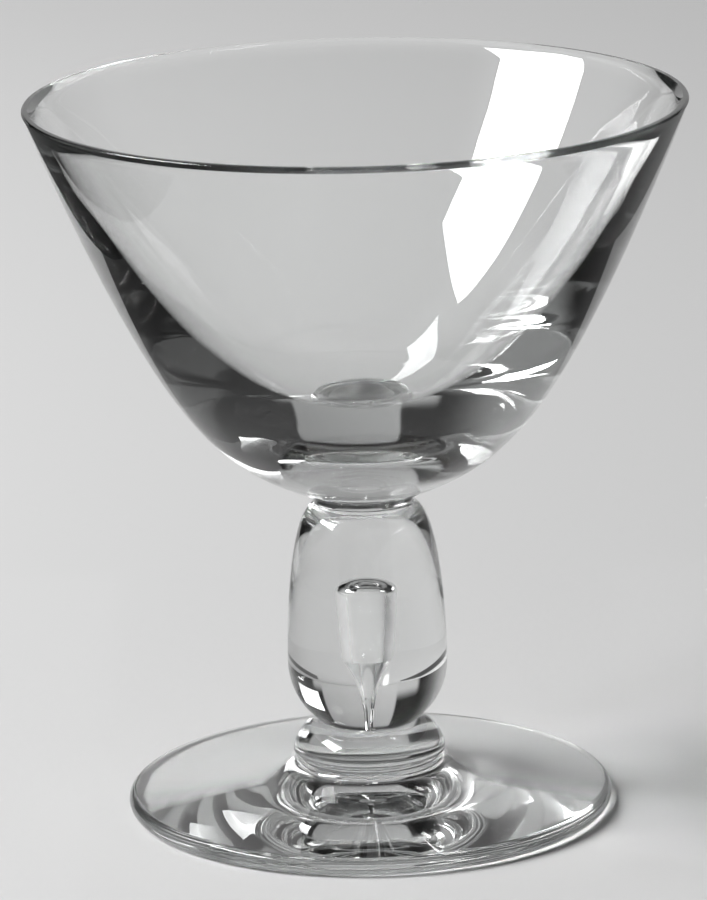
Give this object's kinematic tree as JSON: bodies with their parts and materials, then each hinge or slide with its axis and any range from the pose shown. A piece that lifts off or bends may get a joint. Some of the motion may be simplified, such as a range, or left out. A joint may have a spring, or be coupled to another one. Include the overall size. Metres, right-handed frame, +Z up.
{
  "type": "stemmed cocktail glass",
  "caption": "Short clear cocktail glass: wide flared bowl with a heavy base on a bulbous stem holding a drawn air tear, over a ring knop and a conical foot.",
  "frame": {"origin": "middle of the flat underside of the foot, where the glass stands on the table", "axes": "+Z up along the axis of the glass towards the rim; X and Y are any two level directions, because the glass is round"},
  "size_m": [0.092, 0.092, 0.1015],
  "materials": {
    "clear_glass": "clear polished glass, smooth and glossy"
  },
  "bodies": {
    "root": {"foot": "clear_glass", "knop": "clear_glass", "stem": "clear_glass", "bowl": "clear_glass"}
  },
  "joints": []
}
